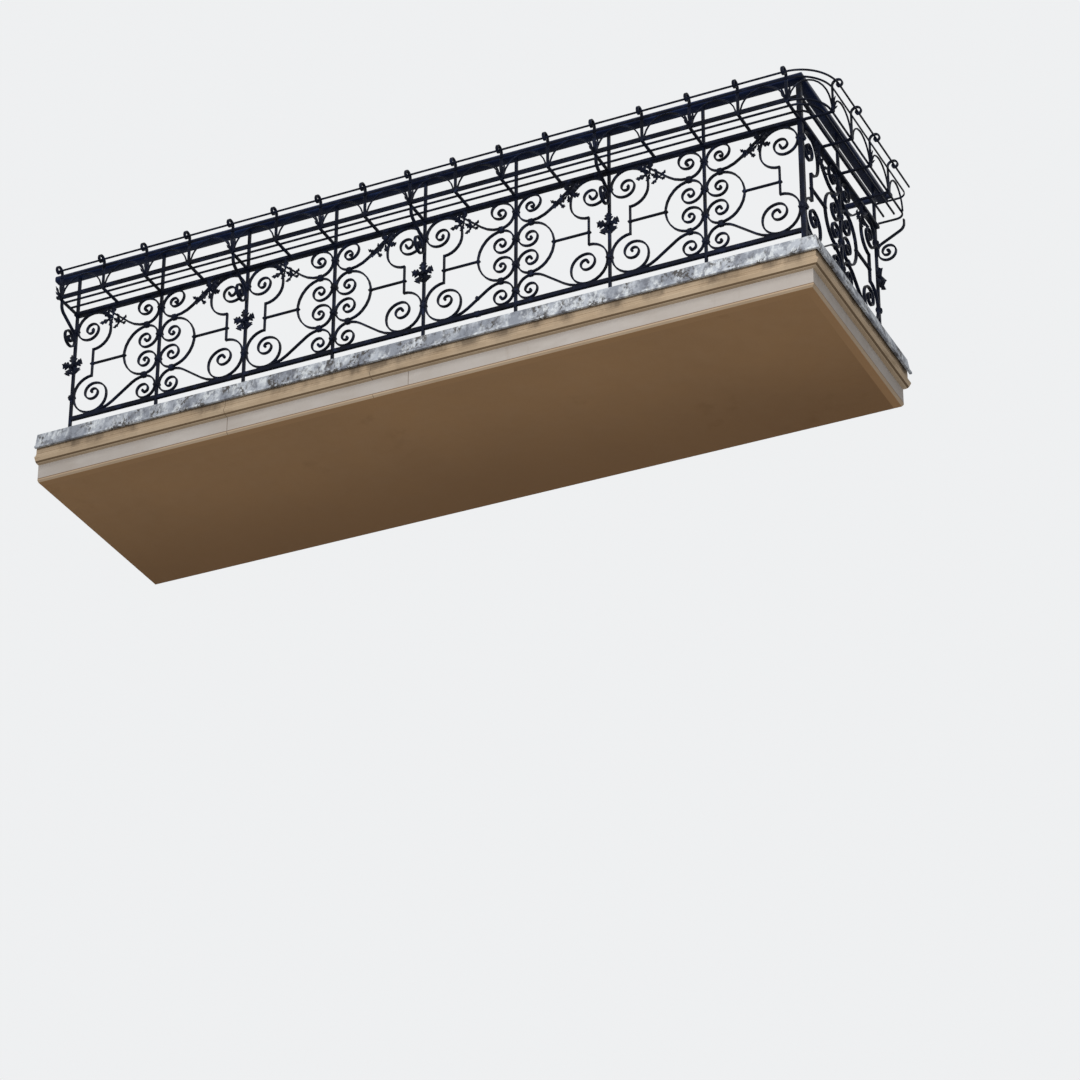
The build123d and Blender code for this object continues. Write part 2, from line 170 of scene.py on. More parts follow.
def bent_bar(start, heading, moves, thick=SCROLL_THICK, deep=SCROLL_DEEP):
    """A flat bar bent in the XZ plane: straights (0, length) and tangent arcs (radius, turn)."""
    place = Vector((start[0], 0, start[1]))
    bpy.ops.object.select_all(action="DESELECT")
    bpy.ops.mesh.primitive_plane_add(size=1, location=place, rotation=(0, QUARTER - heading, 0))
    bar = bpy.context.object
    bar.scale = (thick, deep, 1)
    bpy.ops.object.transform_apply(location=True, rotation=True, scale=True)
    bpy.ops.object.mode_set(mode="EDIT")
    bpy.ops.mesh.select_mode(type="FACE")
    bpy.ops.mesh.select_all(action="SELECT")
    bpy.ops.mesh.bevel(offset=CHAMFER, affect="VERTICES")
    bpy.ops.mesh.select_all(action="SELECT")
    for radius, amount in moves:
        if radius:
            side = 1 if amount > 0 else -1
            centre = place + Vector((-sin(heading), 0, cos(heading))) * radius * side
            steps = max(1, round(abs(amount) / QUARTER * BEND_FACETS))
            bpy.ops.mesh.spin(steps=steps, angle=amount, center=centre, axis=(0, 1, 0))
        else:
            step = Vector((cos(heading), 0, sin(heading))) * amount
            bpy.ops.mesh.extrude_region_move(TRANSFORM_OT_translate={"value": step})
        (x, z), heading = walked((place.x, place.z), heading, [(radius, amount)])
        place = Vector((x, 0, z))
    bpy.ops.object.mode_set(mode="OBJECT")
    return bar


def volute(radii, turn):
    return [(radius / 1000, turn) for radius in radii]


def snub(at, radius, deep):
    """Snub end lying in the middle of a roll."""
    bpy.ops.object.select_all(action="DESELECT")
    bpy.ops.mesh.primitive_cylinder_add(
        vertices=SNUB_SIDES,
        radius=radius,
        depth=deep,
        location=(at[0], 0, at[1]),
        rotation=(QUARTER, 0, 0),
    )
    end = settle(bpy.context.object)
    edit_all()
    bpy.ops.mesh.bevel(offset=radius * SNUB_EASE, segments=1)
    bpy.ops.object.mode_set(mode="OBJECT")
    return end


def snub_against(end, heading, last):
    """The snub that lies against the inner side of the bar's end."""
    inward = SNUB_INWARD * (1 if last[1] > 0 else -1)
    centre = (end[0] - sin(heading) * inward, end[1] + cos(heading) * inward)
    return snub(centre, SNUB_RADIUS, SCROLL_DEEP * SNUB_SHARE)


def scroll_bar(start, heading, back, ahead, rolled_ahead=False):
    """One bar through the start, with a snub at each rolled end."""
    end, end_heading = walked(start, heading + pi, back)
    bar = bent_bar(end, end_heading + pi, backwards(back) + ahead)
    parts = [bar, snub_against(end, end_heading, back[-1])]
    if rolled_ahead:
        parts.append(snub_against(*walked(start, heading, ahead), ahead[-1]))
    return parts


def bevelled_block(centre, size, bevel):
    bpy.ops.object.select_all(action="DESELECT")
    bpy.ops.mesh.primitive_cube_add(size=1, location=centre, scale=size)
    body = settle(bpy.context.object)
    edit_all()
    bpy.ops.mesh.bevel(offset=bevel, segments=2)
    bpy.ops.object.mode_set(mode="OBJECT")
    return body


def banded_collar(centre, size, bevel, ridge):
    """Forged collar: a bevelled block with a raised band round its middle."""
    body = bevelled_block(centre, size, bevel)
    band_size = (size[0] + ridge, size[1] + ridge, size[2] * 0.36)
    return joined([body, bevelled_block(centre, band_size, ridge * 0.49)], "collar")


def boss(centre, radii):
    """A small flattened forged boss."""
    bpy.ops.object.select_all(action="DESELECT")
    bpy.ops.mesh.primitive_ico_sphere_add(subdivisions=2, radius=1, location=centre, scale=radii)
    return settle(bpy.context.object)


def pick(piece, chosen):
    """Selects the points whose place is chosen, and stays in edit mode."""
    bpy.ops.object.mode_set(mode="EDIT")
    bpy.ops.mesh.select_mode(type="VERT")
    bpy.ops.mesh.select_all(action="DESELECT")
    bpy.ops.object.mode_set(mode="OBJECT")
    for vertex in piece.data.vertices:
        vertex.select = chosen(vertex.co)
    bpy.ops.object.mode_set(mode="EDIT")


# Shape of every leaf, as shares of its width or length
STALK = 0.16
TIP_FROM = 0.86
TIP_NARROWS = 0.9
RIB_HIGH = 0.15
RIM_DROOP = 0.12
LOBE_SWEEP = 0.35


def leaf(long, wide, lobes, lift, thick, broad=0.62, cut=0.5):
    """A lobed leaf lying in the XZ plane, its tip towards +X and its face towards -Y."""
    steps = 6 * lobes

    def half_width(t):
        swell = t ** (0.5 / (1 - broad))
        width = (STALK + (1 - STALK) * sin(pi * swell) ** 0.8) * wide / 2
        width *= 1 - TIP_NARROWS * max(0, t - TIP_FROM) / (1 - TIP_FROM)
        return width * (1 - cut + cut * abs(sin(pi * lobes * t)) ** 0.7)

    # A strip across the stalk, raised along its rib and swept towards the tip
    bpy.ops.object.select_all(action="DESELECT")
    bpy.ops.mesh.primitive_grid_add(x_subdivisions=1, y_subdivisions=6, size=2)
    blade = bpy.context.object
    for out in (0, 1 / 3, 2 / 3, 1):
        crown = (1 - out) ** 1.4 * wide * RIB_HIGH - out**2 * wide * RIM_DROOP
        pick(blade, lambda co: abs(abs(co.y) - out) < 0.01)
        bpy.ops.transform.translate(value=(LOBE_SWEEP * out, 0, crown))
    for edge, t in ((-1, 0), (1, 1 / steps)):
        pick(blade, lambda co: co.x > 0.5 if edge > 0 else co.x < 0)
        width = half_width(t)
        bpy.ops.transform.resize(value=(width, width, 1), center_override=(edge, 0, 0))
        bpy.ops.transform.translate(value=(t * long - edge, 0, lift * t * t))

    # Extruded row by row to the tip
    for k in range(2, steps + 1):
        t = k / steps
        before = (k - 1) / steps
        move = (long / steps, 0, lift * (t * t - before * before))
        bpy.ops.mesh.extrude_region_move(TRANSFORM_OT_translate={"value": move})
        grown = half_width(t) / half_width(before)
        bpy.ops.transform.resize(value=(grown, grown, 1), center_override=(t * long, 0, 0))
    bpy.ops.object.mode_set(mode="OBJECT")
    blade.rotation_euler = (QUARTER, 0, 0)
    settle(blade)
    bpy.ops.object.modifier_add(type="SOLIDIFY")
    blade.modifiers[-1].thickness = thick
    bpy.ops.object.modifier_apply(modifier=blade.modifiers[-1].name)
    return blade


# Places in one scroll panel, in metres
ROLL_TOUCH = 0.016  # centre to centre where two scrolls touch
UPPER_S_OUT = 0.077
UPPER_S_DOWN = 0.162
UPPER_S_SWEEP = 0.175
UPPER_S_SLOPE = radians(40)
UPPER_S_SHORT = 0.002  # of the middle rail
LARGE_C_OUT = 0.072
LARGE_C_BACK = ((0.125, -QUARTER / 2), (0.166, -QUARTER), (0.125, -QUARTER / 2))
LARGE_C_FLANK = (0.166, -QUARTER / 2)
LOWER_S_OUT = 0.076
LOWER_S_BEND = radians(36)
LOWER_S_END = 0.140  # short of the flower post
LOWER_S_SHARE = 0.4  # of the bend, before the ramp
LOWER_S_TAIL = 0.022
LOOP_OUT = 0.106  # from the flower post
LOWER_LOOP_HIGH = 0.106 + 0.012 + 0.118
LOWER_LOOP_STRAIGHTS = (0.012, 0.008)
UPPER_LOOP_DOWN = 0.115 + 0.022 + 0.104
UPPER_LOOP_START = ((0.104, -QUARTER), (0, 0.022))
UPPER_LOOP_TAIL = 0.012
TIE_HIGH = 0.328 - 0.0113
TIE_END = 0.012
JOINT_COLLAR = (0.026, 0.024, 0.034)
TIE_CLIP = (0.016, 0.021, 0.013)


def scroll_panel(wide, high, name):
    """Half of the symmetric ornament, x from its edge at the plain post, z from its foot."""
    near = SCROLL_THICK / 2
    far = wide - near
    top = high - near
    parts = []

    # S under the middle rail
    s_x = near + UPPER_S_OUT
    s_z = top - UPPER_S_DOWN
    rise = top - s_z - UPPER_S_SWEEP * (1 - cos(UPPER_S_SLOPE)) - UPPER_S_SHORT
    ramp = [(UPPER_S_SWEEP, UPPER_S_SLOPE), (0, rise / sin(UPPER_S_SLOPE))]
    parts += scroll_bar((s_x, s_z), 0, volute(UPPER_ROLL, -QUARTER), ramp)

    # large C
    c_x = near + LARGE_C_OUT
    c_z = s_z - ROLL_TOUCH
    back = list(LARGE_C_BACK)
    ahead = back + volute(LARGE_ROLL, -QUARTER)
    parts += scroll_bar((c_x, c_z), 0, volute(LARGE_ROLL, QUARTER), ahead, rolled_ahead=True)
    (_, c_foot), _ = walked((c_x, c_z), 0, back)
    (c_side, _), _ = walked((c_x, c_z), 0, [back[0], LARGE_C_FLANK])

    # S above the bottom rail
    b_x = near + LOWER_S_OUT
    b_z = c_foot - ROLL_TOUCH
    bend = LOWER_S_BEND
    reach = far - LOWER_S_END - b_x
    fall = b_z - near
    bends = (reach * sin(bend) - fall * cos(bend)) / (1 - cos(bend))
    slant = fall * sin(bend) / (1 - cos(bend)) - reach
    ramp = [
        (bends * LOWER_S_SHARE, -bend),
        (0, slant),
        (bends * (1 - LOWER_S_SHARE), bend),
        (0, LOWER_S_TAIL),
    ]
    parts += scroll_bar((b_x, b_z), 0, volute(LOWER_ROLL, QUARTER), ramp)

    # two loops beside the flower post
    l_x = far - LOOP_OUT
    l_z = near + LOWER_LOOP_HIGH
    u_z = top - UPPER_LOOP_DOWN
    upper = list(UPPER_LOOP_START) + volute(UPPER_LOOP_ROLL, -QUARTER)
    lower = volute(LOWER_LOOP_TURN, -QUARTER) + [(0, LOWER_LOOP_STRAIGHTS[0])]
    lower += volute(LOWER_LOOP_OVER, -QUARTER) + [(0, LOWER_LOOP_STRAIGHTS[1])]
    lower += volute(LOWER_LOOP_ROLL, -QUARTER)
    low_end, low_heading = walked((l_x, l_z), 0, lower)
    parts.append(bent_bar(low_end, low_heading + pi, backwards(lower)))
    upright = [(0, u_z - l_z + SCROLL_THICK)]
    parts.append(bent_bar((l_x, l_z - SCROLL_THICK / 2), QUARTER, upright))
    parts.append(bent_bar((l_x, u_z), pi, upper + [(0, UPPER_LOOP_TAIL)]))
    parts.append(snub_against(low_end, low_heading, lower[-1]))
    parts.append(snub_against(*walked((l_x, u_z), pi, upper), upper[-1]))

    # tie bar and collars
    tie = [(0, l_x + TIE_END - c_side + TIE_END)]
    parts.append(bent_bar((c_side - TIE_END, TIE_HIGH), 0, tie, thick=TIE_THICK))
    for x, z in (((s_x + c_x) / 2, (s_z + c_z) / 2), ((b_x + c_x) / 2, (b_z + c_foot) / 2)):
        parts.append(banded_collar((x, 0, z), JOINT_COLLAR, bevel=0.004, ridge=0.003))
    for x in (c_side, l_x):
        parts.append(bevelled_block((x, 0, TIE_HIGH), TIE_CLIP, bevel=0.003))
    return smooth(joined([outward(part) for part in parts], name))


# Leaves on the upper S: x, z, angle, length and width, read at this panel height
SPRAY_PANEL_HIGH = 0.6544
SPRAY_LEAVES = (
    (0.300, 0.585, 42, 0.062, 0.034),
    (0.296, 0.590, 95, 0.052, 0.030),
    (0.304, 0.584, -22, 0.056, 0.030),
    (0.292, 0.578, 222, 0.048, 0.028),
    (0.298, 0.582, -78, 0.044, 0.024),
    (0.247, 0.541, 150, 0.040, 0.022),
    (0.250, 0.542, -50, 0.040, 0.022),
    (0.252, 0.546, 78, 0.036, 0.020),
    (0.244, 0.538, 205, 0.034, 0.020),
)
SPRAY_BERRIES = ((0.298, 0.584), (0.248, 0.542))
BERRY_SIZE = (0.010, 0.008, 0.010)
LEAF_LONGER = 1.28
LEAF_WIDER = 1.2


def leaf_spray(high):
    """Leaves and berries on the upper end of the S under the middle rail."""
    parts = []
    face = -SCROLL_DEEP / 2
    for x, z, angle, long, wide in SPRAY_LEAVES:
        blade = leaf(long * LEAF_LONGER, wide * LEAF_WIDER, 3, 0.010, 0.004, cut=0.55)
        place = (x, face - 0.001, z + high - SPRAY_PANEL_HIGH)
        parts.append(turned(blade, place, radians(angle)))
    for x, z in SPRAY_BERRIES:
        parts.append(boss((x, face - 0.004, z + high - SPRAY_PANEL_HIGH), BERRY_SIZE))
    return smooth(joined(parts, "spray"), 50)


# Panels along the front and the free end
pieces = []
patterns = {}
front_panels = sorted(name for name in nodes if name.startswith("front_panel_"))
side_panels = sorted(name for name in nodes if name.startswith("side_panel_"))


def panel_size(node):
    low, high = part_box(node)
    return max(high.x - low.x, high.y - low.y), high.z - low.z


def pattern(node):
    """The scroll panel of this node's width, made once."""
    wide, high = panel_size(node)
    key = round(wide, 4)
    if key not in patterns:
        patterns[key] = scroll_panel(wide, high, "scroll_pattern")
    return patterns[key]


def panel_seat(node):
    """Foot of the panel's edge at its plain post, and whether the panel runs on from there."""
    low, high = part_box(node)
    ahead = int(node.rsplit("_", 1)[1]) % 2 == 0
    if node in front_panels:
        return (low.x if ahead else high.x, (low.y + high.y) / 2, low.z), ahead
    return ((low.x + high.x) / 2, low.y if ahead else high.y, low.z), ahead


spray = leaf_spray(panel_size("front_panel_1")[1])
sprays = []
for name in front_panels + side_panels:
    seat, ahead = panel_seat(name)
    if name in front_panels:
        row_turn = 0
        turn = 0 if ahead else pi
    else:
        row_turn = QUARTER
        turn = QUARTER if ahead else -QUARTER
    panel = copied(pattern(name), seat, turn, name=name.replace("panel", "scrolls"))
    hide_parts(name)
    pieces.append((panel, "iron"))
    sprays.append(copied(spray, seat, row_turn, mirror=not ahead))
pieces.append((smooth(joined(sprays, "leaf_sprays"), 50), "iron"))
for model in (spray, *patterns.values()):
    bpy.data.objects.remove(model)

# Places in the railing, read from the frame
low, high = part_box("side_posts")
half_post = (high.x - low.x) / 2
y_end = high.y - half_post
x_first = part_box("front_posts")[0].x + half_post
low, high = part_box("corner_post")
x_corner = (low.x + high.x) / 2
y_rail = (low.y + high.y) / 2
low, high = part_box("bottom_rail")
z_low = (low.z + high.z) / 2
bottom_high = high.z - low.z
bottom_deep = 2 * (high.x - x_corner)
z_middle = sum(v.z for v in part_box("middle_rail")) / 2
front_count = len(front_panels)
side_count = len(side_panels)
pitch = (x_corner - x_first) / front_count
side_pitch = (y_end - y_rail) / side_count
posts = []
for k in range(front_count):
    posts.append(("plain" if k % 2 else "flower", x_first + k * pitch, y_rail, 0.0))
posts.append(("corner", x_corner, y_rail, 0.0))
posts.append(("plain", x_corner, y_rail + side_pitch, QUARTER))
posts.append(("flower", x_corner, y_end, QUARTER))

# Collars that bind the scrolls to the posts
PLAIN_COLLARS = (0.580, 0.406, 0.246, 0.081)  # above the bottom rail
FLOWER_COLLARS = (0.566, 0.138)
COLLAR_WIDER = 0.0195  # than the post
COLLAR_DEEP = 0.024
COLLAR_HIGH = 0.030
COLLAR_BOSS_OUT = 0.011
COLLAR_BOSS = (0.011, 0.008, 0.013)
CORNER_WIDER = 1.3
CORNER_DEEPER = 1.25


def post_collar():
    """Band round the post and its two scrolls, with a flattened boss on either face."""
    size = (2 * half_post + COLLAR_WIDER, COLLAR_DEEP, COLLAR_HIGH)
    parts = [banded_collar((0, 0, 0), size, bevel=0.003, ridge=0.004)]
    for side in (-1, 1):
        parts.append(boss((0, side * COLLAR_BOSS_OUT, 0), COLLAR_BOSS))
    return smooth(joined(parts, "collar"))


model = post_collar()
collars = []
for kind, x, y, turn in posts:
    for height in PLAIN_COLLARS if kind == "plain" else FLOWER_COLLARS:
        collar = copied(model, (x, y, z_low + height), turn)
        if kind == "corner":
            collar.scale = (CORNER_WIDER, CORNER_DEEPER, 1)
            collar.location = (x - x * CORNER_WIDER, y - y * CORNER_DEEPER, 0)
            settle(collar)
        collars.append(collar)
bpy.data.objects.remove(model)
pieces.append((smooth(joined(collars, "post_collars")), "iron"))

# Splice in the bottom rail of one bay, and the clip above it
SPLICE_BAY = 5
SPLICE_SHORT = 0.222
SLEEVE_LONG = 0.030
SLEEVE_PROUD = 0.004
CLIP_SIZE = (0.020, 0.021, 0.018)
CLIP_HIGH = 0.098
CLIP_TILT = radians(-30)

x_splice = x_first + SPLICE_BAY * pitch - SPLICE_SHORT
sleeve_size = (SLEEVE_LONG, bottom_deep + SLEEVE_PROUD, bottom_high + SLEEVE_PROUD)
sleeve = bevelled_block((x_splice, y_rail, z_low), sleeve_size, bevel=0.0015)
clip = bevelled_block((0, 0, 0), CLIP_SIZE, bevel=0.003)
clip = turned(clip, (x_splice, y_rail, z_low + CLIP_HIGH), CLIP_TILT)
pieces.append((smooth(joined([sleeve, clip], "splice_clips")), "iron"))

# Rosettes of five lobed petals round a domed centre
PETALS = 5
PETAL_LONG = 0.061
PETAL_WIDE = 0.056
PETAL_FROM = 0.003
DOME_OUT = 0.007
DOME_SIZE = (0.012, 0.009, 0.012)
ROSETTE_HIGH = 0.335  # above the bottom rail
ROSETTE_OUT = 0.0165  # from the post's middle


def rosette():
    parts = []
    for n in range(PETALS):
        turn = QUARTER + n * 2 * pi / PETALS
        place = (cos(turn) * PETAL_FROM, 0, sin(turn) * PETAL_FROM)
        parts.append(turned(leaf(PETAL_LONG, PETAL_WIDE, 3, 0.009, 0.005), place, turn))
    bpy.ops.object.select_all(action="DESELECT")
    bpy.ops.mesh.primitive_uv_sphere_add(
        segments=14, ring_count=8, radius=1, location=(0, -DOME_OUT, 0), scale=DOME_SIZE
    )
    parts.append(settle(bpy.context.object))
    return smooth(joined(parts, "rosette"), 50)


model = rosette()
flowers = []
for kind, x, y, turn in posts:
    if kind == "flower":
        out = Vector((sin(turn), -cos(turn), 0)) * ROSETTE_OUT
        flowers.append(copied(model, Vector((x, y, z_low + ROSETTE_HIGH)) + out, turn))
bpy.data.objects.remove(model)
rosettes = smooth(joined(flowers, "rosette_flowers"), 50)
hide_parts("rosettes")
pieces.append((rosettes, "iron"))

# The basket: its uprights stand half a bay apart, in front of the posts and between them
basket_out = y_rail - (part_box("front_floor_bars")[0].y - SEAM) + UPRIGHT_THICK / 2
z_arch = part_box("front_arches")[0].z
arch_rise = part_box("front_arches")[1].z - z_arch - ARCH_THICK / 2


def on_front(model, steps, z, turn=0.0):
    """Copies along the basket's front, at steps of half a bay from the first post."""
    y = y_rail - basket_out
    return [copied(model, (x_first + step * pitch / 2, y, z), turn) for step in steps]


def on_side(model, steps, z, turn=0.0):
    """Copies along the basket's free end, at steps of half a bay from the corner."""
    x = x_corner + basket_out
    return [copied(model, (x, y_rail + step * side_pitch / 2, z), turn) for step in steps]


# Curled uprights
CURL_HIGH = 0.162
CURL_SNUB_BACK = 0.004
CURL_SNUB_RADIUS = 0.006

roll = volute(CURL_ROLL, -QUARTER)
stem = [(0, CURL_HIGH + UPRIGHT_THICK / 2)]
bar = bent_bar(
    (0, -UPRIGHT_THICK / 2), QUARTER, stem + roll, thick=UPRIGHT_THICK, deep=UPRIGHT_WIDE
)
end, _ = walked((0, CURL_HIGH), QUARTER, roll)
tip = snub((end[0] - CURL_SNUB_BACK, end[1]), CURL_SNUB_RADIUS, UPRIGHT_WIDE * SNUB_SHARE)
curl = smooth(outward(joined([bar, tip], "curl")))
curls = on_front(curl, range(2 * front_count + 1), z_middle, -QUARTER)
front_curls = smooth(joined(curls, "front_curls"))
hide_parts("front_uprights")
pieces.append((front_curls, "iron"))
side_curls = smooth(joined(on_side(curl, range(2 * side_count), z_middle), "side_curls"))
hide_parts("side_uprights")
pieces.append((side_curls, "iron"))
bpy.data.objects.remove(curl)

# Arches between the uprights, one bent round the corner and a shorter one at the end
LAST_ARCH_SHORT = 0.050


def arch(bay):
    half = bay / 2 - UPRIGHT_WIDE / 2 - SEAM - ARCH_THICK / 2
    bow = bent_bar((-half, 0), QUARTER, [(half, -pi)], thick=ARCH_THICK, deep=ARCH_WIDE)
    bow.scale = (1, 1, arch_rise / half)
    return smooth(outward(settle(bow)))


def corner_arch():
    """An arch wrapped round a quarter of the basket's corner."""
    long = basket_out * QUARTER
    bow = arch(long)
    only(bow)
    bpy.ops.object.modifier_add(type="SIMPLE_DEFORM")
    wrap = bow.modifiers[-1]
    wrap.deform_method = "BEND"
    wrap.deform_axis = "Z"
    wrap.angle = QUARTER * (bow.dimensions.x / long)
    bpy.ops.object.modifier_apply(modifier=wrap.name)
    return bow


front_arch = arch(pitch / 2)
side_arch = arch(side_pitch / 2)
last = side_pitch / 2 - LAST_ARCH_SHORT
last_arch = arch(last)
wrapped_arch = corner_arch()
bows = on_front(front_arch, [j + 0.5 for j in range(2 * front_count)], z_arch)
front_bows = smooth(joined(bows, "front_bows"))
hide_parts("front_arches")
pieces.append((front_bows, "iron"))
bows = on_side(side_arch, [j + 0.5 for j in range(2 * side_count - 1)], z_arch, QUARTER)
place = (x_corner + basket_out, y_end - LAST_ARCH_SHORT - last / 2, z_arch)
bows.append(copied(last_arch, place, QUARTER))
diagonal = Vector((sin(pi / 4), -cos(pi / 4), 0)) * basket_out
bows.append(copied(wrapped_arch, Vector((x_corner, y_rail, z_arch)) + diagonal, pi / 4))
side_bows = smooth(joined(bows, "side_bows"))
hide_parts("side_arches")
pieces.append((side_bows, "iron"))
for model in (front_arch, side_arch, last_arch, wrapped_arch):
    bpy.data.objects.remove(model)

# Palm leaves on the uprights in front of the posts: tilt, length and width of each blade
PALM_BLADES = (
    (0, 0.086, 0.018),
    (19, 0.080, 0.015),
    (-19, 0.080, 0.015),
    (32, 0.048, 0.012),
    (-32, 0.048, 0.012),
)
PALM_FOOT = 0.006

blades = []
for tilt, long, wide in PALM_BLADES:
    blade = leaf(long, wide, 2, 0.010, 0.003, broad=0.72, cut=0.2)
    foot = (0, -UPRIGHT_THICK / 2 - 0.001, PALM_FOOT)
    blades.append(turned(blade, foot, QUARTER + radians(tilt)))
palm = joined(blades, "palm")
palms = on_front(palm, range(0, 2 * front_count + 1, 2), z_middle)
palms += on_side(palm, range(0, 2 * side_count, 2), z_middle, QUARTER)
bpy.data.objects.remove(palm)
pieces.append((smooth(joined(palms, "palm_leaves"), 50), "iron"))

# Rails with eased edges, mitred at the corner; each ease is (on top, radius, segments)
HANDRAIL_EASES = ((True, 0.024, 5), (False, 0.010, 3))
MIDDLE_RAIL_EASES = ((True, 0.003, 2), (False, 0.003, 2))
RETURN_FROM_CORNER = 0.090
RETURN_SIZE = (0.300, 0.026, 0.026)
RETURN_HIGH = 0.020
MIDDLE_RAIL_PAST = 0.004  # the first post


def rail_length(low, high, keep, eases):
    """One straight rail, cut on the corner's diagonal; keep tells which side stays."""
    bpy.ops.object.select_all(action="DESELECT")
    bpy.ops.mesh.primitive_cube_add(size=1, location=(low + high) / 2, scale=high - low)
    rail = settle(bpy.context.object)
    along = 0 if high.x - low.x > high.y - low.y else 1
    bpy.ops.object.mode_set(mode="EDIT")
    for on_top, radius, segments in eases:
        level = high.z if on_top else low.z
        bpy.ops.mesh.select_mode(type="EDGE")
        bpy.ops.mesh.select_all(action="DESELECT")
        bpy.ops.object.mode_set(mode="OBJECT")
        for edge in rail.data.edges:
            one, other = (rail.data.vertices[v].co for v in edge.vertices)
            flat = abs(one.z - level) < 0.0001 and abs(other.z - level) < 0.0001
            edge.select = flat and abs(one[along] - other[along]) > 0.1
        bpy.ops.object.mode_set(mode="EDIT")
        bpy.ops.mesh.bevel(offset=radius, segments=segments)
    bpy.ops.mesh.select_all(action="SELECT")
    bpy.ops.mesh.bisect(
        plane_co=(x_corner, y_rail, 0), plane_no=(keep, keep, 0), clear_outer=True
    )
    bpy.ops.object.mode_set(mode="OBJECT")
    return rail


def mitred_rails(node, x_start, eases):
    """The front and the side length of a rail node, from x_start to its far end."""
    low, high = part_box(node)
    half = high.x - x_corner
    start = Vector((x_start, low.y, low.z))
    corner = Vector((high.x, y_rail + half, high.z))
    inner = Vector((x_corner - half, low.y, low.z))
    return [rail_length(start, corner, 1, eases), rail_length(inner, high, -1, eases)]


hand_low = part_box("handrail")[0]
rails = mitred_rails("handrail", hand_low.x, HANDRAIL_EASES)
flat_return = bevelled_block(
    (x_corner - RETURN_FROM_CORNER, -RETURN_SIZE[1] / 2, hand_low.z + RETURN_HIGH),
    RETURN_SIZE,
    bevel=0.004,
)
hand = smooth(outward(joined(rails + [flat_return], "rounded_handrail")), 40)
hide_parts("handrail")
pieces.append((hand, "handrail"))

rails = mitred_rails("middle_rail", x_first - half_post - MIDDLE_RAIL_PAST, MIDDLE_RAIL_EASES)
mid = smooth(outward(joined(rails, "flat_middle_rail")), 40)
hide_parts("middle_rail")
pieces.append((mid, "iron"))

# Scroll brackets under the basket
BRACKET_TOUCH = -0.182  # below the middle rail, where the bracket meets its post
BRACKET_SLOPE = radians(27)
BRACKET_BENDS = (0.035, 0.046)
BRACKET_STRAIGHTS = (0.025, 0.122)

touch = (half_post + SEAM + SCROLL_THICK / 2, BRACKET_TOUCH)
arm = [
    (0, BRACKET_STRAIGHTS[0]),
    (BRACKET_BENDS[0], BRACKET_SLOPE - QUARTER),
    (0, BRACKET_STRAIGHTS[1]),
    (BRACKET_BENDS[1], QUARTER - BRACKET_SLOPE),
]
reached, _ = walked(touch, QUARTER, arm)
arm.append((0, -UPRIGHT_THICK / 2 - SEAM - reached[1]))
parts = scroll_bar(touch, QUARTER, volute(BRACKET_ROLL, QUARTER), arm)
bracket = smooth(outward(joined(parts, "bracket")))
arms = []
for kind, x, y, turn in posts:
    if kind == "flower":
        arms.append(copied(bracket, (x, y, z_middle), turn - QUARTER))
bpy.data.objects.remove(bracket)
brackets = smooth(joined(arms, "bracket_scrolls"))
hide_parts("brackets")
pieces.append((brackets, "iron"))


# Shader nodes
def feed(tree, socket, value):
    """Sets a number or a colour, or links another node's output."""
    if isinstance(value, bpy.types.NodeSocket):
        tree.links.new(value, socket)
    else:
        socket.default_value = value


def reckoned(tree, operation, *values):
    node = tree.nodes.new("ShaderNodeMath")
    node.operation = operation
    for socket, value in zip(node.inputs, values):
        feed(tree, socket, value)
    return node.outputs[0]


def ranged(tree, value, interpolation="LINEAR", **ends):
    """Map Range; its ends are named from_min, from_max, to_min and to_max."""
    node = tree.nodes.new("ShaderNodeMapRange")
    node.interpolation_type = interpolation
    feed(tree, node.inputs["Value"], value)
    for end, amount in ends.items():
        feed(tree, node.inputs[end.replace("_", " ").title()], amount)
    return node.outputs["Result"]


def along_axis(tree, axis):
    """The object's own coordinate on one axis."""
    coordinates = tree.nodes.new("ShaderNodeTexCoord")
    parts = tree.nodes.new("ShaderNodeSeparateXYZ")
    feed(tree, parts.inputs[0], coordinates.outputs["Object"])
    return parts.outputs[axis]


def overlaid(tree, under, mask, tone):
    """A colour laid over another where the mask is 1."""
    mix = tree.nodes.new("ShaderNodeMix")
    mix.data_type = "RGBA"
    feed(tree, mix.inputs["Factor"], mask)
    feed(tree, mix.inputs["A"], under)
    feed(tree, mix.inputs["B"], tone)
    return mix.outputs["Result"]


def new_group(name, *labels):
    """A node group with its named inputs and a Mask; returns it with its inner ends."""
    tree = bpy.data.node_groups.new(name, "ShaderNodeTree")
    for label in labels:
        kind = "NodeSocketVector" if label == "Stretch" else "NodeSocketFloat"
        tree.interface.new_socket(label, in_out="INPUT", socket_type=kind)
    tree.interface.new_socket("Mask", in_out="OUTPUT", socket_type="NodeSocketFloat")
    inner = tree.nodes.new("NodeGroupInput").outputs
    return tree, inner, tree.nodes.new("NodeGroupOutput").inputs["Mask"]


def masked(tree, group, *values):
    """A group placed with its own values, in the order of its inputs."""
    node = tree.nodes.new("ShaderNodeGroup")
    node.node_tree = group
    for socket, value in zip(node.inputs, values):
        socket.default_value = value
    return node.outputs["Mask"]


